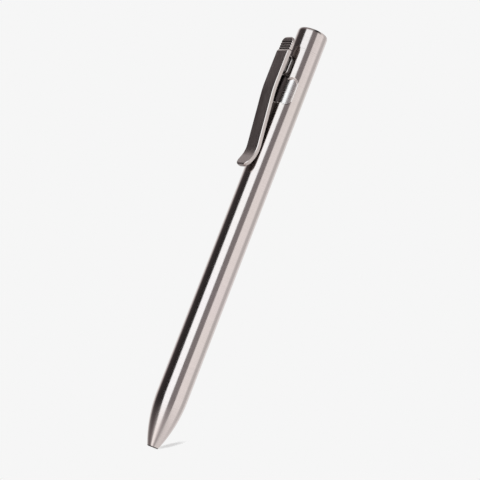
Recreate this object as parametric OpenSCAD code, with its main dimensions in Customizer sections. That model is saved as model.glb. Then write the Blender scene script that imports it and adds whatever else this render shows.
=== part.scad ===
// Retractable pen whose pocket clip is also its bolt.
// Millimetres, +Z up the pen, origin at the centre of the nose end.
// The clip stands on the -Y side. Turns are measured from there, positive towards +X.

/* [Pen] */
// Nose end to cap end
pen_length = 141; // [139:1:145]
// Outside diameter of barrel and cap
barrel_diameter = 10; // [9.8:0.1:10.6]
// Wall round the carriage, which the window shows
barrel_wall = 0.9; // [0.8:0.05:1]
// Length of the screwed end cap that shows
cap_length = 7.2; // [6.8:0.1:7.4]

/* [Nose] */
// Length of the rounded taper
nose_length = 16.5; // [15:0.5:20]
// Diameter of the flat end
nose_end_diameter = 3.4; // [3.3:0.1:4]

/* [Bolt track] */
// Cap end to the top of the narrow slot
slot_top_drop = 10.6; // [10.4:0.1:10.8]
// Width of the narrow slot
slot_width = 3.6; // [3.2:0.1:3.8]
// Cap end to the shoulder where the slot opens into the window
shoulder_drop = 18.5; // [18.2:0.1:18.8]
// Height of the window
window_height = 8.1; // [7.9:0.1:9]
// Turn from the slot to the middle of the holding notch
notch_turn = 43.5; // [43:0.5:46]
// Depth of the holding notch in the shoulder
notch_depth = 0.9; // [0.6:0.1:1.2]

/* [Clip] */
// Width of the clip
clip_width = 5.4; // [4.4:0.1:5.6]
// Thickness of the clip
clip_thickness = 1.5; // [1.3:0.1:1.7]
// Cap end to the top of the clip
clip_top_drop = 5.4; // [5:0.1:5.8]
// Cap end to the foot of the clip
clip_foot_drop = 50.4; // [50:0.2:52]
// Pen axis to the outer face of the clip at the thumb end
clip_reach = 9.3; // [9.2:0.1:9.8]
// Cap end to where the clip starts to lean in
clip_bend_drop = 21.5; // [20.5:0.5:22.5]
// Cap end to where the clip comes nearest the barrel
clip_press_drop = 43.5; // [42:0.5:44]
// Grooves across the thumb pad
groove_count = 4; // [3:1:5]

/* [Refill] */
// Cap end to the tail of the refill
tail_drop = 26.2; // [25:0.2:29]
// Diameter of the refill tube
refill_diameter = 6.1; // [5.9:0.1:6.2]
// Diameter of the metal point
point_diameter = 2.3; // [2.1:0.1:2.4]
// Diameter of the writing ball
ball_diameter = 0.7; // [0.6:0.1:1]
// Depth of the ball inside the nose when drawn back
point_setback = 3.8; // [3:0.1:4.4]

/* [Spring] */
// Length of the spring with the point drawn back
spring_length = 19.5; // [18:0.5:21]
// Wire diameter
wire_diameter = 0.45; // [0.4:0.05:0.5]
// Curls from end to end
curl_count = 9; // [8:1:10]

/* [Fits] */
// Radial gap of sliding fits
sliding_gap = 0.08; // [0.05:0.01:0.1]
// Gap between pieces that stay together
resting_gap = 0.03; // [0.02:0.01:0.05]

/* [Hidden] */
$fn = 96;
tiny = 0.01;
// Barrel and cap
outer_radius = barrel_diameter / 2;
bore_radius = outer_radius - barrel_wall;
barrel_top = pen_length - cap_length;
edge_break = 0.15;
cap_edge = 0.35;
plug_radius = bore_radius + 0.22;
plug_bore = plug_radius - 0.9;
// Bolt track heights
slot_top = pen_length - slot_top_drop;
shoulder = pen_length - shoulder_drop;
window_floor = shoulder - window_height;
slot_floor = window_floor + 0.1;
slot_radius = slot_width / 2;
plug_floor = slot_top + 0.35;
// Lug of the clip, a round-ended block in the slot
lug_side_gap = 0.1;
lug_radius = slot_radius - lug_side_gap;
lug_top = slot_top - lug_side_gap;
lug_length = 6.8;
lug_floor = lug_top - lug_length;
lug_face = outer_radius + 0.75;
lug_step = 0.7;
travel = lug_floor - slot_floor - lug_side_gap;
// Spring and its pocket in the nose
neck_radius = 1.85;
wire_radius = wire_diameter / 2;
coil_radius = neck_radius + 0.13 + wire_radius;
spring_pocket = coil_radius + wire_radius + 0.22;
spring_seat = 6;
spring_collar = spring_seat + spring_length;
spring_end_gap = 0.06;
// Refill heights, drawn back: its neck stays clear of the spring's seat when the point is out
ball_radius = ball_diameter / 2;
refill_radius = refill_diameter / 2;
refill_bore = refill_radius - 0.6;
tail = pen_length - tail_drop;
point_radius = point_diameter / 2;
point_cone = 4.2;
point_grip = 3.5;
neck_gap = 0.3;
neck_floor = spring_seat + travel + neck_gap;
point_top = neck_floor + point_grip;
collar_length = 1.6;
tube_floor = spring_collar + collar_length;
holder_plug = 6;
ink_drop = 30;
ink_level = tail - ink_drop;
follower_length = 4;
// Carriage heights, drawn back
carriage_radius = bore_radius - sliding_gap;
cup_depth = 4;
cup_roof = tail + resting_gap;
carriage_floor = cup_roof - cup_depth;
carriage_top = slot_top + 0.1;
stem_radius = plug_bore - 0.2;
stem_top = carriage_top + 2.2;
screw_radius = 1.2;
screw_reach = 2.5;
screw_offset = 1.8;
lug_past_axis = 0.3;
// Side shape of the clip: two bends joined by the line that touches both
clip_top = pen_length - clip_top_drop;
clip_foot = pen_length - clip_foot_drop;
clip_half = clip_thickness / 2;
press_gap = 0.1;
upper_bend = 33;
flare_bend = 9;
flare_turn = 22;
pad_step = 0.4;
pad_ledge = pen_length - 10.8;
pad_reach = clip_reach - pad_step;
groove_radius = 0.26;
groove_pitch = 0.8;
upper_centre = [clip_reach - clip_half - upper_bend, pen_length - clip_bend_drop];
flare_centre = [outer_radius + press_gap + clip_half + flare_bend, pen_length - clip_press_drop];
bends_apart = flare_centre - upper_centre;
clip_lean = atan2(-bends_apart[1], bends_apart[0]) - acos((upper_bend + flare_bend) / norm(bends_apart));

// Shared shapes

// Solid of turning whose rings are [radius, height] pairs
module turned(rings) {
    rotate_extrude()
        polygon(rings);
}

// Plain bore or pin between two heights
module round_bar(radius, low, high) {
    translate([0, 0, low])
        cylinder(r = radius, h = high - low);
}

// Upright round-ended outline: width is twice the radius
module stadium(radius, low, high) {
    translate([0, low + radius])
        circle(r = radius);
    translate([0, high - radius])
        circle(r = radius);
    translate([-radius, low + radius])
        square([2 * radius, high - low - 2 * radius]);
}

// Outline in X and Z pushed out through the clip side, between two distances from the axis
module out_clip_side(near, far) {
    translate([0, -near, 0])
        rotate([90, 0, 0])
            linear_extrude(height = far - near)
                children();
}

function arc(centre, radius, from, to, steps) =
    [for (i = [0 : steps]) centre + radius * [cos(from + (to - from) * i / steps),
                                              sin(from + (to - from) * i / steps)]];

// Barrel with its nose and the bolt track

function barrel_outline() =
    let (end_radius = nose_end_diameter / 2, drop = outer_radius - end_radius,
         ogive_radius = (nose_length * nose_length + drop * drop) / (2 * drop),
         sweep = asin(nose_length / ogive_radius), chamfer = 0.02 * sweep)
    concat([[0, 0], [end_radius - edge_break, 0]],
           arc([outer_radius - ogive_radius, nose_length], ogive_radius, chamfer - sweep, 0, 24),
           [[outer_radius, barrel_top - edge_break / 2], [outer_radius - edge_break / 2, barrel_top],
            [0, barrel_top]]);

// One leg of the track: round above, with one lower corner rounded, on the left or on the right
module track_leg(low, high, round_left) {
    wide = slot_radius;
    corner = [0, low + wide];
    foot = round_left ? concat(arc(corner, wide, 180, 270, 8), [[wide, low]])
                      : concat([[-wide, low]], arc(corner, wide, 270, 360, 8));
    translate([0, high - wide])
        circle(r = wide);
    polygon(concat([[wide, high - wide], [-wide, high - wide]], foot));
}

// The path of one cutter as wide as the slot: down the slot, across, and up into the holding notch.
// The three floors stand a hair apart, so that no two cuts share a face.
module bolt_track() {
    inside = bore_radius - 1.2;
    outside = outer_radius + 1;
    half_way = outer_radius * sin(notch_turn / 2);
    out_clip_side(inside, outside)
        track_leg(slot_floor, slot_top, true);
    rotate([0, 0, notch_turn])
        out_clip_side(inside, outside)
            track_leg(window_floor, shoulder + notch_depth, false);
    rotate([0, 0, notch_turn / 2])
        out_clip_side(inside, outside)
            translate([-half_way, (window_floor + slot_floor) / 2])
                square([2 * half_way, shoulder - (window_floor + slot_floor) / 2]);
}

module barrel() {
    color([0.66, 0.63, 0.61])
        difference() {
            turned(barrel_outline());
            round_bar(point_radius + sliding_gap, -1, spring_seat + tiny);
            round_bar(spring_pocket, spring_seat, barrel_top);
            round_bar(refill_radius + 0.2, spring_collar - travel - 0.8, barrel_top);
            round_bar(bore_radius, carriage_floor - travel - 1, barrel_top);
            round_bar(plug_radius + resting_gap, plug_floor - 0.1, barrel_top + 1);
            bolt_track();
        }
}

// End cap, screwed into the barrel and hollow for the stem of the carriage

module end_cap() {
    seat = barrel_top + resting_gap;
    roof = stem_top + 0.8;
    color([0.68, 0.65, 0.63])
        turned([[plug_bore, plug_floor], [plug_radius - 0.2, plug_floor], [plug_radius, plug_floor + 0.2],
                [plug_radius, seat], [outer_radius - edge_break / 2, seat],
                [outer_radius, seat + edge_break / 2], [outer_radius, pen_length - cap_edge],
                [outer_radius - cap_edge, pen_length], [0, pen_length], [0, roof], [plug_bore - 0.8, roof],
                [plug_bore, roof - 0.8]]);
}

// Clip: thumb pad, long spring arm, flared foot, and the lug that runs in the track

function pad_face() =
    let (round = clip_thickness - pad_step - edge_break - 0.05)
    concat(arc([pad_reach - round, clip_top - round], round, 90, 0, 8),
           [[pad_reach, pad_ledge + pad_step], [clip_reach, pad_ledge]]);

function foot_end() =
    let (along = [sin(flare_turn), -cos(flare_turn)],
         last = flare_centre + flare_bend * [cos(180 + flare_turn), sin(180 + flare_turn)],
         run = (last[1] - clip_foot - clip_half) / cos(flare_turn))
    arc(last + run * along, clip_half, flare_turn, flare_turn - 180, 10);

module clip_side() {
    polygon(concat(
        pad_face(),
        arc(upper_centre, upper_bend + clip_half, 0, -clip_lean, 8),
        arc(flare_centre, flare_bend - clip_half, 180 - clip_lean, 180 + flare_turn, 10),
        foot_end(),
        arc(flare_centre, flare_bend + clip_half, 180 + flare_turn, 180 - clip_lean, 10),
        arc(upper_centre, upper_bend - clip_half, -clip_lean, 0, 8),
        [[clip_reach - clip_thickness, clip_top - edge_break],
         [clip_reach - clip_thickness + edge_break, clip_top]]));
}

module clip_front() {
    half = clip_width / 2;
    corner = 0.44 * clip_width;
    high = clip_top + 0.1 - corner;
    low = clip_foot - 0.1 + corner;
    polygon(concat(
        arc([half - corner, high], corner, 0, 90, 8),
        arc([corner - half, high], corner, 90, 180, 8),
        arc([corner - half, low], corner, 180, 270, 8),
        arc([half - corner, low], corner, 270, 360, 8)));
}

module pad_grooves() {
    low = pad_ledge + pad_step + 0.45;
    for (i = [0 : groove_count - 1])
        translate([-clip_width, -pad_reach - 0.05, low + groove_pitch * i])
            rotate([0, 90, 0])
                cylinder(r = groove_radius, h = 2 * clip_width, $fn = 24);
}

// Lug in the carriage and the slot, as far out as its own face
module lug(grown) {
    out_clip_side(-lug_past_axis - grown, lug_face)
        stadium(lug_radius + grown, lug_floor - grown, lug_top + grown);
}

// Slimmer neck that joins the lug to the clip
module lug_neck() {
    out_clip_side(lug_face - 1, clip_reach - clip_half)
        stadium(lug_radius - lug_step, lug_floor + lug_step, lug_top - lug_step);
}

module screw_hole(low, high) {
    translate([0, -screw_offset, 0])
        round_bar(screw_radius + resting_gap, low, high);
}

module clip() {
    color([0.42, 0.41, 0.41])
        difference() {
            union() {
                intersection() {
                    translate([clip_width, 0, 0])
                        rotate([90, 0, -90])
                            linear_extrude(height = 2 * clip_width)
                                clip_side();
                    out_clip_side(outer_radius, clip_reach + 1)
                        clip_front();
                }
                lug(0);
                lug_neck();
            }
            pad_grooves();
            screw_hole(lug_top - screw_reach, lug_top + 1);
        }
}

// Carriage: slides and turns in the barrel, carries the lug above and cups the refill below

module carriage() {
    color([0.62, 0.62, 0.63])
        difference() {
            turned([[0, carriage_floor], [carriage_radius - 0.3, carriage_floor],
                    [carriage_radius, carriage_floor + 0.3], [carriage_radius, carriage_top - 0.2],
                    [carriage_radius - 0.2, carriage_top], [stem_radius, carriage_top],
                    [stem_radius, stem_top - 0.3], [stem_radius - 0.3, stem_top], [0, stem_top]]);
            round_bar(refill_radius + sliding_gap, carriage_floor - 1, cup_roof);
            round_bar(refill_radius - 0.9, cup_roof - tiny, lug_floor - 1.5);
            lug(resting_gap);
            screw_hole(lug_top - screw_reach, stem_top + 1);
        }
}

// Grub screw that locks the lug into the carriage

module clip_lock_screw() {
    low = lug_top - screw_reach + resting_gap;
    high = stem_top - 0.3;
    color([0.2, 0.2, 0.21])
        translate([0, -screw_offset, 0])
            difference() {
                turned([[0, low], [screw_radius - 0.4, low], [screw_radius, low + 0.4],
                        [screw_radius, high - 0.15], [screw_radius - 0.15, high], [0, high]]);
                translate([0, 0, high - 1.2])
                    cylinder(r = 0.75, h = 2, $fn = 6);
            }
}

// Return spring: one wire with a close curl at each end

spring_low = spring_seat + spring_end_gap + wire_radius;
spring_high = spring_collar - spring_end_gap - wire_radius;
close_pitch = wire_diameter + 0.45;
open_pitch = (spring_high - spring_low - 2 * close_pitch) / (curl_count - 2);
rings_per_curl = 14;
wire_sides = 6;

function wire_height(curl) =
    spring_low + close_pitch * min(curl, 1) + open_pitch * max(0, min(curl - 1, curl_count - 2))
    + close_pitch * max(0, curl - curl_count + 1);

function wire_centre(ring) =
    let (curl = ring / rings_per_curl)
    [coil_radius * cos(360 * curl), coil_radius * sin(360 * curl), wire_height(curl)];

function wire_ring(ring) =
    let (turn = 360 * ring / rings_per_curl, centre = wire_centre(ring))
    [for (side = [0 : wire_sides - 1])
        let (around = 360 * side / wire_sides)
        centre + wire_radius * [cos(turn) * cos(around), sin(turn) * cos(around), sin(around)]];

module return_spring() {
    last = curl_count * rings_per_curl;
    points = [for (ring = [0 : last]) each wire_ring(ring)];
    walls = [for (ring = [0 : last - 1], side = [0 : wire_sides - 1])
        let (next = (side + 1) % wire_sides, here = ring * wire_sides, up = here + wire_sides)
        each [[here + side, up + side, up + next], [here + side, up + next, here + next]]];
    ends = [[for (side = [0 : wire_sides - 1]) side],
            [for (side = [wire_sides - 1 : -1 : 0]) last * wire_sides + side]];
    gaps = [for (a = [0 : last], b = [a + 10 : last])
        if (b - a < 2 * rings_per_curl) norm(wire_centre(a) - wire_centre(b)) - wire_diameter];
    echo(least_spring_gap = min(gaps));
    color([0.72, 0.73, 0.75])
        polyhedron(points, concat(walls, ends));
}

// Refill: tube, tail plug, point holder, metal point, ball, ink and follower

module refill_tube() {
    color([0.86, 0.9, 0.92, 0.6])
        difference() {
            round_bar(refill_radius, tube_floor, tail - 1);
            round_bar(refill_bore, tube_floor - 1, tail);
        }
}

module refill_plug() {
    low = tail - 1 + resting_gap;
    fit = refill_bore - resting_gap;
    color([0.15, 0.16, 0.2])
        turned([[0.5, low - 3], [fit - 0.3, low - 3], [fit, low - 2.7], [fit, low], [refill_radius, low],
                [refill_radius, tail - 0.2], [refill_radius - 0.2, tail], [0.5, tail]]);
}

module point_holder() {
    fit = refill_bore - resting_gap;
    low = tube_floor - resting_gap;
    color([0.9, 0.91, 0.92])
        difference() {
            turned([[0, neck_floor], [neck_radius - 0.2, neck_floor], [neck_radius, neck_floor + 0.2],
                    [neck_radius, spring_collar], [refill_radius - 0.15, spring_collar],
                    [refill_radius, spring_collar + 0.15], [refill_radius, low], [fit, low],
                    [fit, low + holder_plug - 0.4], [fit - 0.4, low + holder_plug], [0, low + holder_plug]]);
            round_bar(point_radius + resting_gap, neck_floor - 1, point_top);
            round_bar(0.8, point_top - tiny, low + holder_plug + 1);
        }
}

module writing_point() {
    ball_height = point_setback + ball_radius;
    lip = point_setback + 0.4 * ball_radius;
    lip_radius = ball_radius + 0.1;
    high = point_top - resting_gap;
    color([0.75, 0.7, 0.6])
        difference() {
            turned([[0, lip], [lip_radius, lip], [point_radius, point_setback + point_cone],
                    [point_radius, high], [0, high]]);
            translate([0, 0, ball_height])
                sphere(r = ball_radius + 0.02);
            round_bar(0.8 * ball_radius, ball_height, high + 1);
        }
}

module writing_ball() {
    color([0.35, 0.36, 0.38])
        translate([0, 0, point_setback + ball_radius])
            sphere(r = ball_radius);
}

module ink() {
    holder_top = tube_floor + holder_plug;
    color([0.05, 0.05, 0.12])
        turned([[0, point_top + 0.1], [0.8 - resting_gap, point_top + 0.1],
                [0.8 - resting_gap, holder_top + resting_gap],
                [refill_bore - resting_gap, holder_top + resting_gap],
                [refill_bore - resting_gap, ink_level], [0, ink_level]]);
}

module ink_follower() {
    color([0.85, 0.8, 0.6, 0.7])
        round_bar(refill_bore - resting_gap, ink_level + resting_gap, ink_level + follower_length);
}

barrel();
end_cap();
clip();
carriage();
clip_lock_screw();
return_spring();
refill_tube();
refill_plug();
point_holder();
writing_point();
writing_ball();
ink();
ink_follower();
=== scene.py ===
"""Looks of the retractable pen: finer metal pieces, materials, studio and camera."""

import math

import bmesh
import bpy
from mathutils import Matrix, Vector


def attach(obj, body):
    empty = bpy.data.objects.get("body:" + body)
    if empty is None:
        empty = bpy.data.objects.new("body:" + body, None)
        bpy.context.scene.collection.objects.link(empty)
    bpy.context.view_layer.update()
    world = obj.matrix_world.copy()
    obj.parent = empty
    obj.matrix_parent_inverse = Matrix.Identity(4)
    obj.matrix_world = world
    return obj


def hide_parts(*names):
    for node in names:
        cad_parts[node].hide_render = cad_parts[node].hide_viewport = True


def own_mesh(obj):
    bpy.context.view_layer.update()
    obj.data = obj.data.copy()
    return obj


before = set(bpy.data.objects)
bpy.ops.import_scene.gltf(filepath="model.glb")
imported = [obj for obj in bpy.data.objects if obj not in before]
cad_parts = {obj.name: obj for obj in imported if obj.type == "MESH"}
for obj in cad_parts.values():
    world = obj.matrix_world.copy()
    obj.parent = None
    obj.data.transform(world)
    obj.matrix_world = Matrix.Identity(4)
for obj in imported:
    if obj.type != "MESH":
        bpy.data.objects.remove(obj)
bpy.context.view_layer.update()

# One millimetre in metres; the sizes below are in millimetres, and the part's source has most of them
MM = 0.001

# Barrel and cap, with a finer seam and rim than the solids have
PEN_LENGTH = 141
OUTER_RADIUS = 5
BORE_RADIUS = 4.1
BARREL_TOP = PEN_LENGTH - 7.2
NOSE_LENGTH = 16.5
NOSE_END_RADIUS = 1.7
NOSE_ARC_SHARE = 0.98
NOSE_EDGE_TOP = 0.25
EDGE_BREAK = 0.15
CAP_ROLL_IN = 0.2
CAP_ROLL_HEIGHT = 1.1
SEAM_BREAK = 0.008
SEAM_GAP = 0.012
SEGMENTS = 160

# Bolt track, with the reach of the cutters that make it
SLOT_RADIUS = 1.8
SLOT_TOP = PEN_LENGTH - 10.6
SHOULDER = PEN_LENGTH - 18.5
WINDOW_FLOOR = SHOULDER - 8.1
FLOOR_STEP = 0.05
NOTCH_TURN = 43.5
NOTCH_DEPTH = 0.9
TRACK_CHAMFER = 0.22
CHAMFER_SLOPE = 1.1
THROUGH_REACH = (BORE_RADIUS - 1.2, OUTER_RADIUS + 1)
FLARE_REACH = (-TRACK_CHAMFER - 0.04, 0.12)
WALL_MARGIN = 0.02
TRACK_MARGIN = 1

# Plain rings of the barrel: two along its length, and one on each side of the track
PLAIN_RINGS = (40, 80)
BELOW_TRACK = WINDOW_FLOOR - 2.4
ABOVE_TRACK = SLOT_TOP + 2

# Return spring
WIRE_RADIUS = 0.225
COIL_RADIUS = 2.205
SPRING_SEAT = 6
SPRING_FLOOR = SPRING_SEAT + 0.06
SPRING_TOP = 25.44
CLOSE_PITCH = 0.9
CURL_COUNT = 9
RINGS_PER_CURL = 24
WIRE_SIDES = 12

# Bores of the barrel, and the plug of the cap with the socket that holds it
POINT_BORE = 1.23
SPRING_POCKET = COIL_RADIUS + WIRE_RADIUS + 0.22
POCKET_TOP = 15.8
REFILL_BORE = 3.25
BORE_FLOOR = 100.93
PLUG_RADIUS = 4.32
PLUG_BORE = 3.42
PLUG_FLOOR = SLOT_TOP + 0.35
PLUG_CHAMFER = 0.2
SOCKET_RADIUS = PLUG_RADIUS + 0.03
SOCKET_FLOOR = PLUG_FLOOR - 0.1
CAP_ROOF = SLOT_TOP + 3.1
ROOF_CHAMFER = 0.8

# Clip: strip, thumb pad and lug
CLIP_HALF_WIDTH = 2.7
CLIP_THICKNESS = 1.5
CLIP_TOP = PEN_LENGTH - 5.4
CLIP_FOOT = PEN_LENGTH - 50.4
CLIP_REACH = 9.3
CLIP_BEND = PEN_LENGTH - 21.5
CLIP_PRESS = PEN_LENGTH - 43.5
PRESS_GAP = 0.1
UPPER_BEND = 33
FLARE_BEND = 9
FLARE_TURN = 22
FOOT_SWEEP = 82
CLIP_CORNER = 0.97 * CLIP_HALF_WIDTH
CORNER_MARGIN = 0.1
FRONT_CHAMFER = (0.17, 0.13)
PAD_BACK_CHAMFER = 0.06
ARM_BACK_CHAMFER = 0.24
CHAMFER_LIMIT = 0.42
PAD_STEP = 0.4
PAD_LEDGE = PEN_LENGTH - 10.8
PAD_TOP_FLAT = 0.2
LEDGE_RUN = 0.75
FIRST_GROOVE = PAD_LEDGE + PAD_STEP + 0.45
GROOVE_COUNT = 4
GROOVE_PITCH = 0.8
GROOVE_HALF = 0.34
GROOVE_DEPTH = 0.17
LUG_RADIUS = 1.7
LUG_TOP = SLOT_TOP - 0.1
LUG_FLOOR = LUG_TOP - 6.8
LUG_FACE = OUTER_RADIUS + 0.75
LUG_PAST_AXIS = 0.3
LUG_EDGE = 0.2
LUG_STEP = 0.7

# Camera in metres and degrees, found by fitting the pen's outline to the photograph
CAMERA_AZIMUTH = 51
CAMERA_ELEVATION = -9.93
CAMERA_ROLL = 21.2
CAMERA_DISTANCE = 0.4
CAMERA_HEIGHT = 0.06863
CAMERA_SIDE = 0.002175
CAMERA_LENS = 95.76
SENSOR_WIDTH = 36
NEAREST_SEEN = 0.01


# Mesh helpers, in millimetres until a piece is shaded


def evenly(start, stop, steps):
    """Values at even steps, both ends included."""
    return [start + (stop - start) * i / steps for i in range(steps + 1)]


def arc(centre, radius, start, stop, steps):
    """Points along an arc in degrees, both ends included."""
    turns = [math.radians(angle) for angle in evenly(start, stop, steps)]
    return [(centre[0] + radius * math.cos(t), centre[1] + radius * math.sin(t)) for t in turns]


def loft(bm, rings, closed=False):
    """Skin rings of equal count, with both ends filled unless closed; gives the faces of each step."""
    loops = [[bm.verts.new(point) for point in ring] for ring in rings]
    pairs = list(zip(loops, loops[1:]))
    if closed:
        pairs.append((loops[-1], loops[0]))
    steps = []
    for low, high in pairs:
        turned = [(low[i], low[i - 1], high[i - 1], high[i]) for i in range(len(low))]
        steps.append([bm.faces.new(corners) for corners in turned])
    if not closed:
        bm.faces.new(reversed(loops[0]))
        bm.faces.new(loops[-1])
    return steps


def lathe(bm, profile, closed=False):
    """Turn a profile of (radius, height) pairs about the pen's axis."""
    turns = [2 * math.pi * i / SEGMENTS for i in range(SEGMENTS)]
    rings = [[(r * math.cos(t), r * math.sin(t), z) for t in turns] for r, z in profile]
    loft(bm, rings, closed)


def add_object(name, data):
    """New object in the scene."""
    made = bpy.data.objects.new(name, data)
    bpy.context.scene.collection.objects.link(made)
    return made


def to_mesh(name, bm):
    """Finish a bmesh as a mesh."""
    mesh = bpy.data.meshes.new(name)
    bm.to_mesh(mesh)
    bm.free()
    return mesh


def to_object(name, bm):
    """Finish a bmesh as an object whose faces all look outwards."""
    bmesh.ops.recalc_face_normals(bm, faces=bm.faces)
    return add_object(name, to_mesh(name, bm))


UPRIGHT_LIMIT = 0.01
ROUND_TOLERANCE = 2e-6


def is_round(face, corners, radii):
    """True for an upright face whose corners, in metres, all lie on one of the radii."""
    distances = [math.hypot(corner.x, corner.y) for corner in corners]
    on_radius = [all(abs(d - MM * radius) < ROUND_TOLERANCE for d in distances) for radius in radii]
    return abs(face.normal.z) <= UPRIGHT_LIMIT and any(on_radius)


def shade(piece, angle=32, round_radii=()):
    """Bring a piece to metres, smooth with crisp edges, with true round normals on the given radii."""
    mesh = piece.data
    mesh.transform(Matrix.Scale(MM, 4))
    mesh.shade_smooth()
    mesh.set_sharp_from_angle(angle=math.radians(angle))
    if not round_radii:
        return
    normals = [Vector(n.vector) for n in mesh.corner_normals]
    for face in mesh.polygons:
        corners = [mesh.vertices[v].co for v in face.vertices]
        if not is_round(face, corners, round_radii):
            continue
        outward = face.normal.dot(Vector((face.center.x, face.center.y, 0))) > 0
        for loop, corner in zip(face.loop_indices, corners):
            around = Vector((corner.x, corner.y, 0)).normalized()
            normals[loop] = around if outward else -around
    mesh.normals_split_custom_set(normals)


def stand_in(piece, node, body, slot, *materials):
    """Show the piece in place of a CAD node, riding on the node's body."""
    for material in materials:
        piece.data.materials.append(material)
    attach(piece, body)
    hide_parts(node)


# Shader helpers


def connect(tree, node, inputs):
    """Give each input of a node its value, or a link where the value is another node's output."""
    for key, value in inputs.items():
        if isinstance(value, bpy.types.NodeSocket):
            tree.links.new(value, node.inputs[key])
        else:
            node.inputs[key].default_value = value


def add_node(tree, kind, inputs, **settings):
    """New shader node with its settings and inputs."""
    node = tree.nodes.new(kind)
    for key, value in settings.items():
        setattr(node, key, value)
    connect(tree, node, inputs)
    return node


def ramp(tree, source, stops):
    """Colour by a value, through stops of place and colour."""
    node = add_node(tree, "ShaderNodeValToRGB", {"Fac": source})
    elements = node.color_ramp.elements
    while len(elements) > 1:
        elements.remove(elements[-1])
    for i, (place, colour) in enumerate(stops):
        stop = elements[0] if i == 0 else elements.new(place)
        stop.position = place
        stop.color = (*colour, 1)
    return node.outputs["Color"]


def scaled(values, share):
    return tuple(share * value for value in values)


def grey(level):
    return (level, level, level)


# Procedural materials: the scales are per metre and the heights in metres


NOISE_SPAN = (0.3, 0.7)
LINE_TONES, LINE_DETAIL = (0.95, 1.05), 4.0
CLOUD_ROUGHNESS, CLOUD_DETAIL = (0.88, 1.12), 3.0
HUE_CLOUDS, HUE_DETAIL = (30, 30, 30), 1.0
ROSY, STRAW = (1.01, 0.985, 1.005), (1.0, 0.998, 0.978)
SPECKS, SPECK_DETAIL = (2500, 2500, 2500), 3.0
SPECK_TONES, SPECK_ROUGHNESS = (0.93, 1.05), (0.85, 1.15)


def new_material(name):
    material = bpy.data.materials.new(name)
    material.use_nodes = True
    return material, material.node_tree, material.node_tree.nodes["Principled BSDF"]


def grain(tree, scale, detail):
    """Noise stretched by a scale along each axis of the piece."""
    coords = add_node(tree, "ShaderNodeTexCoord", {})
    stretch = add_node(tree, "ShaderNodeMapping", {"Vector": coords.outputs["Object"], "Scale": scale})
    stretched = {"Vector": stretch.outputs["Vector"], "Scale": 1.0, "Detail": detail}
    return add_node(tree, "ShaderNodeTexNoise", stretched).outputs["Fac"]


def spread(tree, source, span):
    """Map the useful middle of a noise to a span of values."""
    limits = {"From Min": NOISE_SPAN[0], "From Max": NOISE_SPAN[1], "To Min": span[0], "To Max": span[1]}
    return add_node(tree, "ShaderNodeMapRange", {"Value": source, **limits}).outputs["Result"]


def between(tree, source, dark, light):
    """Colour between two tones by the useful middle of a noise."""
    return ramp(tree, source, zip(NOISE_SPAN, (dark, light)))


def bump(tree, source, height):
    """Normal of a surface that a noise raises by a height."""
    raised = {"Height": source, "Strength": 1.0, "Distance": height}
    return add_node(tree, "ShaderNodeBump", raised).outputs["Normal"]


def metal(name, colour, roughness, line_scale, cloud_scale, line_height):
    """Satin metal with fine tool lines and faint clouds in its roughness and hue."""
    material, tree, shader = new_material(name)
    lines = grain(tree, line_scale, LINE_DETAIL)
    clouds = grain(tree, cloud_scale, CLOUD_DETAIL)
    tone = between(tree, lines, *[scaled(colour, share) for share in LINE_TONES])
    hue = between(tree, grain(tree, HUE_CLOUDS, HUE_DETAIL), ROSY, STRAW)
    layers = {"Factor": 1.0, "A": tone, "B": hue}
    stained = add_node(tree, "ShaderNodeMix", layers, data_type="RGBA", blend_type="MULTIPLY")
    connect(tree, shader, {
        "Metallic": 1.0,
        "Base Color": stained.outputs["Result"],
        "Roughness": spread(tree, clouds, scaled(CLOUD_ROUGHNESS, roughness)),
        "Normal": bump(tree, lines, line_height),
    })
    return material


def plastic(name, colour, roughness, clearness=0.0, ior=1.5, grain_height=1e-6):
    """Moulded plastic, ink or grease with a faint grain."""
    material, tree, shader = new_material(name)
    speck = grain(tree, SPECKS, SPECK_DETAIL)
    connect(tree, shader, {
        "Transmission Weight": clearness,
        "IOR": ior,
        "Base Color": between(tree, speck, *[scaled(colour, share) for share in SPECK_TONES]),
        "Roughness": spread(tree, speck, scaled(SPECK_ROUGHNESS, roughness)),
        "Normal": bump(tree, speck, grain_height),
    })
    return material


# Lines and clouds of turned pieces, and of pieces brushed lengthwise
ROUND_LINES = (40, 40, 6000)
ROUND_CLOUDS = (90, 90, 500)
LONG_LINES = (5000, 5000, 60)
LONG_CLOUDS = (300, 300, 90)
BARE_METAL = (0.68, 0.612, 0.59)
body_metal = metal("satin_turned_metal", BARE_METAL, 0.145, ROUND_LINES, ROUND_CLOUDS, 2e-6)
clip_metal = metal("satin_brushed_metal", BARE_METAL, 0.33, LONG_LINES, LONG_CLOUDS, 1.5e-6)
# Darker copy of the metal: painted shade for the clip's sides, and a little rougher
side_metal_with_painted_shade = metal("satin_sides_painted_shade", scaled(BARE_METAL, 0.9), 0.38, LONG_LINES, LONG_CLOUDS, 2e-6)
# Brighter copy of the metal: a painted highlight for the clip's chamfered edges, and smoother as a polished
# edge
edge_metal_with_painted_highlight = metal("polished_edges_painted_highlight", scaled(BARE_METAL, 1.1), 0.16, LONG_LINES, LONG_CLOUDS, 5e-7)
milled_metal = metal("milled_metal", scaled(BARE_METAL, 0.95), 0.36, ROUND_LINES, ROUND_CLOUDS, 3e-6)
# Darker copy of the metal: painted shade for the back of the thumb pad and the lug's neck
back_metal_with_painted_shade = metal("half_dark_metal_painted_shade", scaled(BARE_METAL, 0.35), 0.42, LONG_LINES, LONG_CLOUDS, 3e-6)
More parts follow.
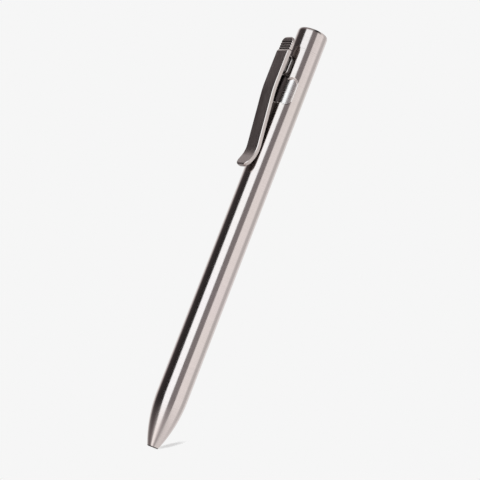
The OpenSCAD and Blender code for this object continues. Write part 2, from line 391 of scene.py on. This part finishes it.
# Rougher, and painted near black: painted shade for the clip's arm back and lug, the grooves' upper walls,
# the track walls behind the clip and the nose's end edge
painted_shade_metal = metal("near_black_painted_shade", (0.1, 0.088, 0.085), 0.42, LONG_LINES, LONG_CLOUDS, 3e-6)
carriage_metal = metal("smooth_turned_metal", (0.82, 0.77, 0.76), 0.27, ROUND_LINES, ROUND_CLOUDS, 1e-6)
screw_metal = metal("black_oxide", (0.05, 0.05, 0.055), 0.45, ROUND_LINES, ROUND_CLOUDS, 4e-6)
spring_metal = metal("bright_wire", (0.72, 0.72, 0.74), 0.18, LONG_LINES, LONG_CLOUDS, 1e-6)
point_metal = metal("nickel_silver", (0.72, 0.66, 0.54), 0.16, ROUND_LINES, ROUND_CLOUDS, 1e-6)
ball_metal = metal("polished_carbide", (0.42, 0.42, 0.44), 0.08, LONG_CLOUDS, ROUND_CLOUDS, 2e-7)
tube_plastic = plastic("clear_tube", (0.9, 0.93, 0.95), 0.08, clearness=1.0, ior=1.49)
plug_plastic = plastic("dark_moulding", (0.02, 0.022, 0.03), 0.42, grain_height=3e-6)
holder_plastic = plastic("milky_moulding", (0.82, 0.83, 0.84), 0.35, clearness=0.25, grain_height=2e-6)
ink_fluid = plastic("wet_ink", (0.006, 0.006, 0.02), 0.05, ior=1.35)
grease = plastic("clear_grease", (0.9, 0.84, 0.6), 0.1, clearness=0.85, ior=1.46)


# Barrel: turned shell, bolt track cut through it, and a chamfer round the track


# Places of the barrel's other materials: a rougher milled finish for the track's walls, and near-black
# painted shade for the walls behind the clip and the nose's end edge
BARREL_MILLED, BARREL_PAINTED_SHADE = 1, 2


def barrel_profile():
    """Outline of the shell as (radius, height) pairs: up the outside, then down through the bores."""
    drop = OUTER_RADIUS - NOSE_END_RADIUS
    ogive = (NOSE_LENGTH**2 + drop**2) / (2 * drop)
    sweep = math.degrees(math.asin(NOSE_LENGTH / ogive))
    nose = arc((OUTER_RADIUS - ogive, NOSE_LENGTH), ogive, -NOSE_ARC_SHARE * sweep, 0, steps=48)
    heights = (*PLAIN_RINGS, BELOW_TRACK, ABOVE_TRACK, BARREL_TOP - SEAM_BREAK)
    outside = [(OUTER_RADIUS, z) for z in heights] + [(OUTER_RADIUS - SEAM_BREAK, BARREL_TOP)]
    bores = [
        (SOCKET_RADIUS, (BARREL_TOP, SOCKET_FLOOR)),
        (BORE_RADIUS, (SOCKET_FLOOR, BELOW_TRACK, BORE_FLOOR)),
        (REFILL_BORE, (BORE_FLOOR, POCKET_TOP)),
        (SPRING_POCKET, (POCKET_TOP, SPRING_SEAT)),
        (POINT_BORE, (SPRING_SEAT, 0)),
    ]
    inside = [(radius, z) for radius, ends in bores for z in ends]
    return [(NOSE_END_RADIUS - EDGE_BREAK, 0)] + nose + outside + inside


def leg_outline(low, high, round_left, grown):
    """One leg of the track, round above with one lower corner round, grown all round."""
    wide = SLOT_RADIUS + grown
    corner = (0, low + SLOT_RADIUS)
    head = arc((0, high - SLOT_RADIUS), wide, 0, 180, steps=24)
    if round_left:
        return head + arc(corner, wide, 180, 270, steps=12) + [(wide, low - grown)]
    return head + [(-wide, low - grown)] + arc(corner, wide, 270, 360, steps=12)


def slot_outline(grown):
    return leg_outline(WINDOW_FLOOR + 2 * FLOOR_STEP, SLOT_TOP, True, grown)


def notch_outline(grown):
    return leg_outline(WINDOW_FLOOR, SHOULDER + NOTCH_DEPTH, False, grown)


def passage_outline(grown):
    """Straight way between the two legs."""
    half = OUTER_RADIUS * math.sin(math.radians(NOTCH_TURN / 2))
    low = WINDOW_FLOOR + FLOOR_STEP - grown
    high = SHOULDER + grown
    return [(half, low), (half, high), (-half, high), (-half, low)]


def straight_ring(outline, turn, distance):
    """Outline set square to one direction, at a distance from the axis."""
    swing = Matrix.Rotation(math.radians(turn), 3, "Z")
    return [swing @ Vector((x, -distance, z)) for x, z in outline]


def wrapped_ring(outline, turn, radius):
    """Outline wrapped on the barrel and moved in or out along its radii."""
    swings = [math.radians(turn) + math.asin(x / OUTER_RADIUS) for x, z in outline]
    return [(radius * math.sin(s), -radius * math.cos(s), z) for s, (x, z) in zip(swings, outline)]


def track_cutters():
    """A cutter through the wall and a wider one for the chamfer, for each part of the track.
    The floors of the three parts stand a hair apart, so that no two cuts share a face."""
    parts = [(0, slot_outline), (NOTCH_TURN, notch_outline), (NOTCH_TURN / 2, passage_outline)]
    cutters = []
    for turn, outline in parts:
        through = bmesh.new()
        loft(through, [straight_ring(outline(0), turn, distance) for distance in THROUGH_REACH])
        cutters.append(to_object("cutter", through))
        flare = bmesh.new()
        widths = [TRACK_CHAMFER + CHAMFER_SLOPE * out for out in FLARE_REACH]
        loft(flare, [wrapped_ring(outline(wide), turn, OUTER_RADIUS + out)
                     for wide, out in zip(widths, FLARE_REACH)])
        cutters.append(to_object("cutter", flare))
    return cutters


def cut_track(piece):
    """Cut the track out of the shell."""
    cutters = track_cutters()
    for cutter in cutters:
        cut = piece.modifiers.new("track", "BOOLEAN")
        cut.operation = "DIFFERENCE"
        cut.solver = "MANIFOLD"
        cut.object = cutter
    solved = piece.evaluated_get(bpy.context.evaluated_depsgraph_get())
    mesh = bpy.data.meshes.new_from_object(solved)
    mesh.materials.clear()
    piece.modifiers.clear()
    piece.data = mesh
    for cutter in cutters:
        bpy.data.objects.remove(cutter)


def is_track_wall(centre):
    """True for a face of the milled walls, below the chamfer."""
    depth = OUTER_RADIUS - math.hypot(centre.x, centre.y)
    in_wall = TRACK_CHAMFER < depth < OUTER_RADIUS - BORE_RADIUS - WALL_MARGIN
    return in_wall and WINDOW_FLOOR - TRACK_MARGIN < centre.z < SLOT_TOP + TRACK_MARGIN


def make_barrel():
    shell = bmesh.new()
    lathe(shell, barrel_profile(), closed=True)
    piece = to_object("barrel_shell", shell)
    cut_track(piece)
    for face in piece.data.polygons:
        if is_track_wall(face.center):
            # Walls on the clip's right get the rougher milled finish; those behind the clip are painted
            # near black, painted shade
            face.material_index = BARREL_MILLED if face.center.x > 0 else BARREL_PAINTED_SHADE
        # The nose's end edge is painted near black: painted shade where it meets the floor
        if 0 < face.center.z < NOSE_EDGE_TOP:
            face.material_index = BARREL_PAINTED_SHADE
    shade(piece, round_radii=(OUTER_RADIUS, BORE_RADIUS))
    stand_in(piece, "barrel", "barrel", "body_metal", body_metal, milled_metal, painted_shade_metal)


# End cap, whose rim rolls in a little towards the flat top


def make_end_cap():
    seat = BARREL_TOP + SEAM_GAP
    bore = [
        (PLUG_BORE - ROOF_CHAMFER, CAP_ROOF),
        (PLUG_BORE, CAP_ROOF - ROOF_CHAMFER),
        (PLUG_BORE, PLUG_FLOOR),
    ]
    plug = [
        (PLUG_RADIUS - PLUG_CHAMFER, PLUG_FLOOR),
        (PLUG_RADIUS, PLUG_FLOOR + PLUG_CHAMFER),
        (PLUG_RADIUS, seat),
    ]
    seam = [(OUTER_RADIUS - SEAM_BREAK, seat), (OUTER_RADIUS, seat + SEAM_BREAK)]
    rim = [(OUTER_RADIUS - CAP_ROLL_IN * t**3, PEN_LENGTH - CAP_ROLL_HEIGHT * (1 - t))
           for t in evenly(0, 1, steps=10)]
    cap = bmesh.new()
    lathe(cap, bore + plug + seam + rim)
    piece = to_object("cap_shell", cap)
    shade(piece, round_radii=(OUTER_RADIUS,))
    stand_in(piece, "end_cap", "barrel", "body_metal", body_metal)


# Clip: a strip of chamfered section bent along its side shape, and the lug


# Places of the clip's other materials, after that of its front: near-black painted shade, a darker copy
# with painted shade for the sides, a brighter copy with a painted highlight for the edges, and darker
# painted shade for the backs
CLIP_PAINTED_SHADE, CLIP_SIDE, CLIP_EDGE, CLIP_BACK = 1, 2, 3, 4


def pad_stations():
    """Outer and inner points of the thumb pad, from the top end down to the ledge."""
    face = CLIP_REACH - PAD_STEP
    back = CLIP_REACH - CLIP_THICKNESS
    round_end = CLIP_THICKNESS - PAD_STEP - PAD_TOP_FLAT
    grooves = [FIRST_GROOVE + GROOVE_PITCH * i for i in range(GROOVE_COUNT)]
    outer = arc((face - round_end, CLIP_TOP - round_end), round_end, 90, 0, steps=10)
    outer += [(face, z) for z in evenly(CLIP_TOP - round_end, grooves[-1] + GROOVE_HALF, steps=5)[1:-1]]
    for middle in reversed(grooves):
        outer += [(face, middle + GROOVE_HALF), (face - GROOVE_DEPTH, middle), (face, middle - GROOVE_HALF)]
    outer += [(face, PAD_LEDGE + LEDGE_RUN), (CLIP_REACH, PAD_LEDGE)]
    return [(point, (back, point[1])) for point in outer]


def arm_stations():
    """Outer and inner points of the bent arm, its flare and its round foot."""
    half = CLIP_THICKNESS / 2
    upper = Vector((CLIP_REACH - half - UPPER_BEND, CLIP_BEND))
    flare = Vector((OUTER_RADIUS + PRESS_GAP + half + FLARE_BEND, CLIP_PRESS))
    apart = flare - upper
    slope = math.atan2(-apart.y, apart.x)
    lean = math.degrees(slope - math.acos((UPPER_BEND + FLARE_BEND) / apart.length))
    outer = arc(upper, UPPER_BEND + half, 0, -lean, steps=8)
    inner = arc(upper, UPPER_BEND - half, 0, -lean, steps=8)
    outer += arc(flare, FLARE_BEND - half, 180 - lean, 180 + FLARE_TURN, steps=16)
    inner += arc(flare, FLARE_BEND + half, 180 - lean, 180 + FLARE_TURN, steps=16)
    turn = math.radians(FLARE_TURN)
    across = Vector((math.cos(turn), math.sin(turn)))
    down = Vector((math.sin(turn), -math.cos(turn)))
    last = flare - FLARE_BEND * across
    end = last + (last.y - CLIP_FOOT - half) / math.cos(turn) * down
    run = [last + (end - last) * t for t in evenly(0, 1, steps=8)[1:-1]]
    outer += [middle + half * across for middle in run]
    inner += [middle - half * across for middle in run]
    outer += arc(end, half, FLARE_TURN, FLARE_TURN - FOOT_SWEEP, steps=8)
    inner += arc(end, half, FLARE_TURN - 180, FLARE_TURN - 180 + FOOT_SWEEP, steps=8)
    return list(zip(outer, inner))


def clip_half_width(height):
    """Half width of the clip at a height, less where its ends are round."""
    above = height - (CLIP_TOP + CORNER_MARGIN - CLIP_CORNER)
    below = (CLIP_FOOT - CORNER_MARGIN + CLIP_CORNER) - height
    past = min(max(above, below, 0), CLIP_CORNER)
    return CLIP_HALF_WIDTH - CLIP_CORNER + math.sqrt(CLIP_CORNER**2 - past**2)


def clip_ring(station, back):
    """Chamfered section between a station's two points, from the right edge round the front.
    The chamfers shrink where the clip is thin."""
    outer, inner = Vector(station[0]), Vector(station[1])
    thick = (outer - inner).length
    through = (outer - inner) / thick
    front, front_deep = FRONT_CHAMFER
    thin = min(1, CHAMFER_LIMIT * thick / max(front_deep, back))
    places = [(outer - thin * front_deep * through, 0), (outer, thin * front),
              (inner, thin * back), (inner + thin * back * through, 0)]
    right = [(clip_half_width(place.y) - less, place) for place, less in places]
    ring = right[:2] + [(-x, place) for x, place in right[1::-1] + right[:1:-1]] + right[2:]
    return [(x, -place.x, place.y) for x, place in ring]


def add_strip(bm):
    """Pad and arm, with a material for each side: painted shade on the sides, the backs and the grooves'
    upper walls, and a painted highlight on the edges.
    """
    pad, arm = pad_stations(), arm_stations()
    rings = [clip_ring(s, PAD_BACK_CHAMFER) for s in pad] + [clip_ring(s, ARM_BACK_CHAMFER) for s in arm]
    outer = [station[0] for station in pad + arm]
    for faces, above, below in zip(loft(bm, rings), outer, outer[1:]):
        right_side, right_edge, front, left_edge, left_side, _, back, _ = faces
        on_pad = above[1] > PAD_LEDGE
        # Backs are painted darker: painted shade between the clip and the barrel
        back.material_index = CLIP_BACK if on_pad else CLIP_PAINTED_SHADE
        # Sides take a darker copy of the metal: painted shade
        right_side.material_index = left_side.material_index = CLIP_SIDE
        # Edges take a brighter copy of the metal: a painted highlight
        right_edge.material_index = left_edge.material_index = CLIP_EDGE
        # The grooves' upper walls are painted near black: painted shade in the grooves
        if on_pad and above[0] - below[0] > GROOVE_DEPTH / 2:
            front.material_index = CLIP_PAINTED_SHADE


def lug_outline(shrunk):
    """Round-ended outline of the lug, shrunk all round."""
    radius = LUG_RADIUS - shrunk
    head = arc((0, LUG_TOP - LUG_RADIUS), radius, 0, 180, steps=20)
    return head + arc((0, LUG_FLOOR + LUG_RADIUS), radius, 180, 360, steps=20)


def add_lug(bm):
    """Lug with near-black painted shade on its sides and face, whose edge keeps the front's finish, and the
    neck with painted shade that joins it to the strip.
    """
    steps = [
        (-LUG_PAST_AXIS, 0),
        (LUG_FACE - LUG_EDGE, 0),
        (LUG_FACE, LUG_EDGE),
        (LUG_FACE, LUG_STEP),
        (CLIP_REACH - CLIP_THICKNESS / 2, LUG_STEP),
    ]
    sides, _, face, neck = loft(bm, [straight_ring(lug_outline(less), 0, out) for out, less in steps])
    # The lug's sides and face, and its neck, are painted dark: painted shade under the clip
    for part in sides + face:
        part.material_index = CLIP_PAINTED_SHADE
    for part in neck:
        part.material_index = CLIP_BACK


def make_clip():
    strip = bmesh.new()
    add_strip(strip)
    add_lug(strip)
    piece = to_object("clip_strip", strip)
    shade(piece, angle=25)
    flat = piece.modifiers.new("flat_faces", "WEIGHTED_NORMAL")
    flat.keep_sharp = True
    finishes_and_painted_light = (clip_metal, painted_shade_metal, side_metal_with_painted_shade, edge_metal_with_painted_highlight, back_metal_with_painted_shade)
    stand_in(piece, "clip", "bolt", "clip_metal", *finishes_and_painted_light)


# Return spring: one wire with a close curl at each end


def wire_height(curl):
    """Height of the wire's middle after a number of curls."""
    open_pitch = (SPRING_TOP - SPRING_FLOOR - 2 * WIRE_RADIUS - 2 * CLOSE_PITCH) / (CURL_COUNT - 2)
    close_curls = min(curl, 1) + max(0, curl - CURL_COUNT + 1)
    open_curls = max(0, min(curl - 1, CURL_COUNT - 2))
    return SPRING_FLOOR + WIRE_RADIUS + CLOSE_PITCH * close_curls + open_pitch * open_curls


def wire_ring(curl):
    """Section of the wire after a number of curls."""
    turn = 2 * math.pi * curl
    last = 360 - 360 / WIRE_SIDES
    section = arc((COIL_RADIUS, wire_height(curl)), WIRE_RADIUS, 0, last, steps=WIRE_SIDES - 1)
    return [(r * math.cos(turn), r * math.sin(turn), z) for r, z in section]


def make_spring():
    wire = bmesh.new()
    loft(wire, [wire_ring(i / RINGS_PER_CURL) for i in range(CURL_COUNT * RINGS_PER_CURL + 1)])
    piece = to_object("spring_wire", wire)
    shade(piece)
    stand_in(piece, "return_spring", "barrel", "spring_metal", spring_metal)
    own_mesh(piece)


# Materials of the pieces that keep their CAD shape


KEPT_SHAPES = {
    "carriage": carriage_metal,
    "clip_lock_screw": screw_metal,
    "refill_tube": tube_plastic,
    "refill_plug": plug_plastic,
    "point_holder": holder_plastic,
    "writing_point": point_metal,
    "writing_ball": ball_metal,
    "ink": ink_fluid,
    "ink_follower": grease,
}


def dress(node, material):
    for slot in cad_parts[node].material_slots:
        slot.material = material


make_barrel()
make_end_cap()
make_clip()
make_spring()
for node, material in KEPT_SHAPES.items():
    dress(node, material)


# Studio: soft panels round the pen, and a ceiling and a floor of light


# Each row is a turn from the camera, positive to its right, with a brightness and a tint
PLAIN, COOL, ROSE, PLUM = (1, 1, 1), (0.92, 1, 1.035), (1.1, 0.97, 1), (1.05, 0.99, 1.02)
PANELS = [
    (-180, 0.8, PLAIN), (-150, 0.95, PLAIN), (-138, 0.7, PLAIN), (-128, 0.25, ROSE), (-117, 0.05, ROSE),
    (-80, 0.025, ROSE), (-58.5, 0.035, ROSE), (-54.5, 1.5, COOL), (-11, 1.5, COOL), (-7, 0.26, PLUM),
    (28, 0.26, PLUM), (32.5, 1.07, PLAIN), (84, 1.03, PLAIN), (96, 0.63, PLAIN), (122, 0.63, PLAIN),
    (138, 0.95, PLAIN), (180, 0.8, PLAIN),
]
CEILING = [
    (-180, 0.55, PLAIN), (-152, 0.55, PLAIN), (-142, 0.6, PLAIN), (-128, 0.5, PLAIN), (-112, 0.25, ROSE),
    (-70, 0.3, ROSE), (-10, 0.35, PLAIN), (0, 0.15, PLUM), (10, 0.03, PLUM), (56, 0.03, PLUM),
    (70, 0.8, PLAIN), (110, 0.7, PLAIN), (150, 0.55, PLAIN), (180, 0.55, PLAIN),
]
FLOOR_LIGHT = [
    (-180, 0.5, PLAIN), (-123, 0.4, PLAIN), (-96, 0.17, ROSE), (-75, 0.2, ROSE), (-57, 0.4, PLAIN),
    (-40, 1.25, PLAIN), (-23, 1.25, PLAIN), (-8, 0.86, PLAIN), (8, 0.46, PLUM), (23, 0.52, PLAIN),
    (40, 0.77, PLAIN), (57, 0.86, PLAIN), (123, 0.88, PLAIN), (180, 0.5, PLAIN),
]
# Share of the ceiling or the floor against the panels, by the angle above the level
PALE_BY_HEIGHT = [
    (-90, 1), (-28, 1), (-11, 0.35), (-3, 0), (8, 0), (20, 0.07), (28, 0.35), (36, 0.9), (45, 1),
]
# Height, as a share from straight down to straight up, where floor gives way to ceiling
HORIZON = (0.49, 0.51)
# Turns where the panels slant, how far they do, and the height where they stand in their place
SLANTED = [(-95, 0), (-70, 1), (-45, 1), (-25, 0)]
SLANT = 0.056
LEVEL = 0.15
# Ramps hold no more than 1, so they carry this share of the brightness
RAMP_SHARE = 0.5
BACKDROP = 0.9216


def turn_place(degrees):
    """Place of a turn on a ramp."""
    return degrees / 360 + 0.5


def height_place(degrees):
    """Place on a ramp of an angle above the level."""
    return (math.sin(math.radians(degrees)) + 1) / 2


def round_stops(rows):
    """Ramp stops of a ring of light."""
    return [(turn_place(turn), scaled(tint, RAMP_SHARE * bright)) for turn, bright, tint in rows]


def times_plus(tree, value, factor, added):
    """Value times a factor, plus what is added."""
    terms = {0: value, 1: factor, 2: added}
    return add_node(tree, "ShaderNodeMath", terms, operation="MULTIPLY_ADD").outputs["Value"]


def blend(tree, factor, first, second):
    """Colour between two others."""
    layers = {"Factor": factor, "A": first, "B": second}
    return add_node(tree, "ShaderNodeMix", layers, data_type="RGBA").outputs["Result"]


def directions(tree):
    """Turn and height of a direction as places on a ramp, and the turn with the panels' slant in it."""
    coords = add_node(tree, "ShaderNodeTexCoord", {})
    from_camera = {"Vector": coords.outputs["Generated"], "Angle": math.radians(90 - CAMERA_AZIMUTH)}
    swing = add_node(tree, "ShaderNodeVectorRotate", from_camera, rotation_type="Z_AXIS")
    split = add_node(tree, "ShaderNodeSeparateXYZ", {"Vector": swing.outputs["Vector"]})
    x, y, z = (split.outputs[axis] for axis in "XYZ")
    around = add_node(tree, "ShaderNodeMath", {0: y, 1: x}, operation="ARCTAN2")
    turn = times_plus(tree, around.outputs["Value"], 0.5 / math.pi, 0.5)
    height = times_plus(tree, z, 0.5, 0.5)
    rise = times_plus(tree, z, SLANT, -SLANT * LEVEL)
    slanting = ramp(tree, turn, [(turn_place(angle), grey(share)) for angle, share in SLANTED])
    return turn, height, times_plus(tree, rise, slanting, turn)


def studio_colour(tree):
    """Colour of the light by its direction."""
    turn, height, slanted_turn = directions(tree)
    panels = ramp(tree, slanted_turn, round_stops(PANELS))
    floor = ramp(tree, turn, round_stops(FLOOR_LIGHT))
    ceiling = ramp(tree, turn, round_stops(CEILING))
    upper = ramp(tree, height, zip(HORIZON, (grey(0), grey(1))))
    pale = ramp(tree, height, [(height_place(angle), grey(share)) for angle, share in PALE_BY_HEIGHT])
    return blend(tree, pale, panels, blend(tree, upper, floor, ceiling))


def make_world():
    """Light of the studio, and the plain backdrop that the camera sees in its place."""
    world = bpy.data.worlds.new("studio")
    bpy.context.scene.world = world
    world.use_nodes = True
    tree = world.node_tree
    tree.nodes.clear()
    light = {"Color": studio_colour(tree), "Strength": 1 / RAMP_SHARE}
    lit = add_node(tree, "ShaderNodeBackground", light)
    plain = add_node(tree, "ShaderNodeBackground", {"Color": (*grey(BACKDROP), 1)})
    path = add_node(tree, "ShaderNodeLightPath", {})
    mixed = add_node(tree, "ShaderNodeMixShader", {
        "Fac": path.outputs["Is Camera Ray"],
        1: lit.outputs["Background"],
        2: plain.outputs["Background"],
    })
    add_node(tree, "ShaderNodeOutputWorld", {"Surface": mixed.outputs["Shader"]})


make_world()


# Camera


def camera_axes():
    """Right, up and backward of the camera as unit vectors."""
    azimuth, elevation = math.radians(CAMERA_AZIMUTH), math.radians(CAMERA_ELEVATION)
    level = Vector((math.sin(azimuth), -math.cos(azimuth), 0))
    back = math.cos(elevation) * level + math.sin(elevation) * Vector((0, 0, 1))
    right = Vector((0, 0, 1)).cross(back).normalized()
    up = back.cross(right)
    roll = math.radians(CAMERA_ROLL)
    rolled_right = math.cos(roll) * right + math.sin(roll) * up
    rolled_up = math.cos(roll) * up - math.sin(roll) * right
    return rolled_right, rolled_up, back


def make_camera():
    right, up, back = camera_axes()
    camera = add_object("camera", bpy.data.cameras.new("camera"))
    camera.data.sensor_width = SENSOR_WIDTH
    camera.data.lens = CAMERA_LENS
    camera.data.clip_start = NEAREST_SEEN
    place = Vector((0, 0, CAMERA_HEIGHT)) + CAMERA_DISTANCE * back + CAMERA_SIDE * right
    turn = Matrix((right, up, back)).transposed().to_4x4()
    camera.matrix_world = Matrix.Translation(place) @ turn
    bpy.context.scene.camera = camera


make_camera()


# Floor that shows only along the nose's shadow, and the key light that casts it


# In metres and degrees
FLOOR_SIZE = 0.12
FLOOR_SQUARES = 8
FLOOR_VIEW_ANGLE = 12
FLOOR_GAP = 1e-5
FLOOR_FADE = (0.002, 0.0068)
FADE_STRETCH = (1, 4.2, 1)
STREAK_DEPTH = 0.72
STREAK_MIDDLE = 0.0064
FLOOR_GLOW = 0.54
FLOOR_TONE = 0.3
KEY_STRENGTH = 3.1
KEY_SOFTNESS = 8
# Where the key light stands: to the right, towards the camera, and up from the floor
KEY_PLACE = (-0.72, 0.68, 1.2)


def floor_material():
    """Pale floor that is clear away from its own middle, and from below."""
    material = bpy.data.materials.new("pale_floor")
    material.use_nodes = True
    tree = material.node_tree
    tree.nodes.clear()
    coords = add_node(tree, "ShaderNodeTexCoord", {})
    streak = {"Vector": coords.outputs["Object"], "Scale": FADE_STRETCH}
    stretch = add_node(tree, "ShaderNodeMapping", streak)
    far = add_node(tree, "ShaderNodeVectorMath", {0: stretch.outputs["Vector"]}, operation="LENGTH")
    span = {"Value": far.outputs["Value"], "From Min": FLOOR_FADE[0], "From Max": FLOOR_FADE[1]}
    fade = add_node(tree, "ShaderNodeMapRange", span, interpolation_type="SMOOTHSTEP")
    facing = add_node(tree, "ShaderNodeNewGeometry", {})
    either = {0: fade.outputs["Result"], 1: facing.outputs["Backfacing"]}
    hidden = add_node(tree, "ShaderNodeMath", either, operation="MAXIMUM")
    glow = add_node(tree, "ShaderNodeEmission", {"Strength": FLOOR_GLOW})
    matt = add_node(tree, "ShaderNodeBsdfDiffuse", {"Color": (*grey(FLOOR_TONE), 1)})
    pale = add_node(tree, "ShaderNodeAddShader", {0: glow.outputs["Emission"], 1: matt.outputs["BSDF"]})
    clear = add_node(tree, "ShaderNodeBsdfTransparent", {})
    mixed = add_node(tree, "ShaderNodeMixShader", {
        "Fac": hidden.outputs["Value"],
        1: pale.outputs["Shader"],
        2: clear.outputs["BSDF"],
    })
    add_node(tree, "ShaderNodeOutputMaterial", {"Surface": mixed.outputs["Shader"]})
    return material


def make_key(right, back, upright):
    """Soft key light from the front left, which makes the nose's shadow and no highlights."""
    light = bpy.data.lights.new("key", "SUN")
    light.energy = KEY_STRENGTH
    light.angle = math.radians(KEY_SOFTNESS)
    key = add_object("key", light)
    towards = KEY_PLACE[0] * right + KEY_PLACE[1] * back + KEY_PLACE[2] * upright
    key.rotation_euler = towards.to_track_quat("Z", "Y").to_euler()
    key.visible_glossy = False


def make_floor():
    right, up, back = camera_axes()
    tip = math.radians(FLOOR_VIEW_ANGLE)
    upright = math.cos(tip) * up + math.sin(tip) * back
    lean = upright.angle(Vector((0, 0, 1)))
    drop = MM * (NOSE_END_RADIUS - EDGE_BREAK) * math.sin(lean) + FLOOR_GAP
    sheet = bmesh.new()
    bmesh.ops.create_grid(sheet, x_segments=FLOOR_SQUARES, y_segments=FLOOR_SQUARES, size=FLOOR_SIZE)
    floor = add_object("floor", to_mesh("floor", sheet))
    near = right.cross(upright)
    along = (right - STREAK_DEPTH * near).normalized()
    turn = Matrix((along, upright.cross(along), upright)).transposed().to_4x4()
    floor.matrix_world = Matrix.Translation(STREAK_MIDDLE * along - drop * upright) @ turn
    floor.data.materials.append(floor_material())
    floor.visible_glossy = False
    make_key(right, back, upright)


make_floor()
bpy.context.scene.view_settings.view_transform = "Standard"
